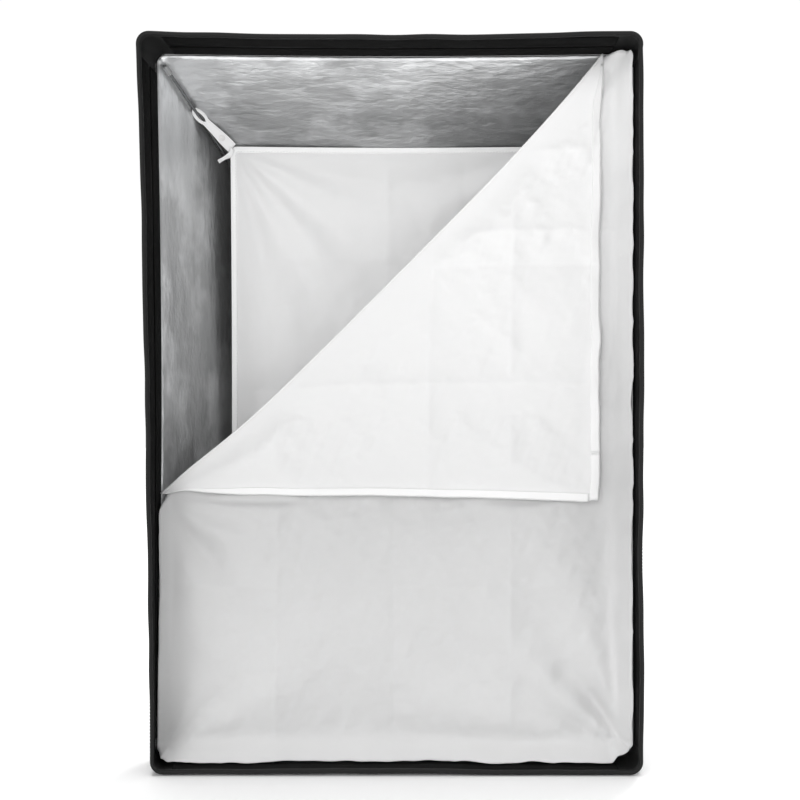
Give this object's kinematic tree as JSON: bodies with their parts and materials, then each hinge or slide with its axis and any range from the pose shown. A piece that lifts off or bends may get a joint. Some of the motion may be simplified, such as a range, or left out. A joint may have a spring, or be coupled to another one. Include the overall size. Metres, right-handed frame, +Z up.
{
  "type": "strip softbox",
  "caption": "Rectangular softbox on a three-lug rotating speedring, with bowed rods, silver lining, inner baffle and a front diffuser peeled back at one corner.",
  "frame": {"origin": "centre of the bayonet seat face, on the lamp axis", "axes": "+Y points back to the lamp head along the lamp axis, the open front faces -Y, +Z is up along the long side, +X is to the right seen from the front"},
  "size_m": [0.61, 0.422, 0.9],
  "materials": {
    "black_nylon": "woven nylon, satin, black",
    "silver_lining": "silver coated cloth, crinkled, semi-gloss",
    "white_diffuser": "fine translucent white cloth, matt",
    "white_webbing": "white woven tape, matt",
    "white_hook_tape": "white hook tape, matt",
    "black_loop_tape": "black loop tape, fuzzy, matt",
    "cast_aluminium_black": "powder coated, fine texture",
    "plated_steel": "zinc plated, turned",
    "spring_steel": "drawn wire, oiled",
    "brass": "drawn, satin",
    "black_plastic": "moulded, fine grain",
    "natural_nylon": "machined nylon, satin",
    "white_plastic": "moulded, semi-gloss"
  },
  "bodies": {
    "mount": {"bayonet_insert": "plated_steel", "retainer_ring": "plated_steel", "retainer_screws": "spring_steel", "glide_washer": "natural_nylon"},
    "softbox": {"speedring": "cast_aluminium_black", "rod_top_left": "spring_steel", "rod_top_right": "spring_steel", "rod_bottom_left": "spring_steel", "rod_bottom_right": "spring_steel", "rod_ferrules": "brass", "rod_tip_caps": "black_plastic", "corner_pockets": "silver_lining", "shell_top": "black_nylon", "shell_bottom": "black_nylon", "shell_left": "black_nylon", "shell_right": "black_nylon", "lining_top": "silver_lining", "lining_bottom": "silver_lining", "lining_left": "silver_lining", "lining_right": "silver_lining", "rear_collar": "black_nylon", "collar_loop_patches": "black_loop_tape", "front_lip": "black_nylon", "lip_rim_binding": "black_nylon", "diffuser_loop_tape": "black_loop_tape", "grid_loop_tape": "black_loop_tape", "inner_baffle": "white_diffuser", "baffle_binding": "white_webbing", "baffle_strap_top_left": "white_webbing", "baffle_strap_top_right": "white_webbing", "baffle_strap_bottom_left": "white_webbing", "baffle_strap_bottom_right": "white_webbing", "strap_snaps": "white_plastic", "front_diffuser": "white_diffuser", "diffuser_hook_tape": "white_hook_tape"},
    "lock_pad": {"brake_pad": "natural_nylon"},
    "lock_screw": {"lock_stud": "plated_steel", "lock_knob": "black_plastic"},
    "flap": {"diffuser_flap": "white_diffuser", "flap_hook_tape": "white_hook_tape"},
    "tab_left": {"closure_tab_left": "black_nylon"},
    "tab_right": {"closure_tab_right": "black_nylon"}
  },
  "joints": [
    {"name": "ring_spin", "type": "hinge", "parent": "mount", "child": "softbox", "pos_m": [0, 0, 0], "axis": [0, 1, 0], "continuous": true},
    {"name": "pad_travel", "type": "slide", "parent": "softbox", "child": "lock_pad", "axis": [1, 0, 0], "range_m": [0, 0.0016]},
    {"name": "knob_turn", "type": "hinge", "parent": "lock_pad", "child": "lock_screw", "pos_m": [0.088, -0.0095, 0], "axis": [1, 0, 0], "range_deg": [0, 540]},
    {"name": "corner_peel", "type": "hinge", "parent": "softbox", "child": "flap", "pos_m": [0, -0.3515, 0.178], "axis": [-0.7071, 0, -0.7071], "range_deg": [0, 180]},
    {"name": "tab_left_open", "type": "hinge", "parent": "softbox", "child": "tab_left", "pos_m": [-0.04773, -0.0123, 0.06753], "axis": [0.7071, 0, -0.7071], "range_deg": [0, 170]},
    {"name": "tab_right_open", "type": "hinge", "parent": "softbox", "child": "tab_right", "pos_m": [0.04773, -0.0123, 0.06753], "axis": [0.7071, 0, 0.7071], "range_deg": [0, 170]}
  ],
  "couplings": [
    {"joint": "pad_travel", "follows": "knob_turn", "m_per_rad": 0.00015915}
  ]
}
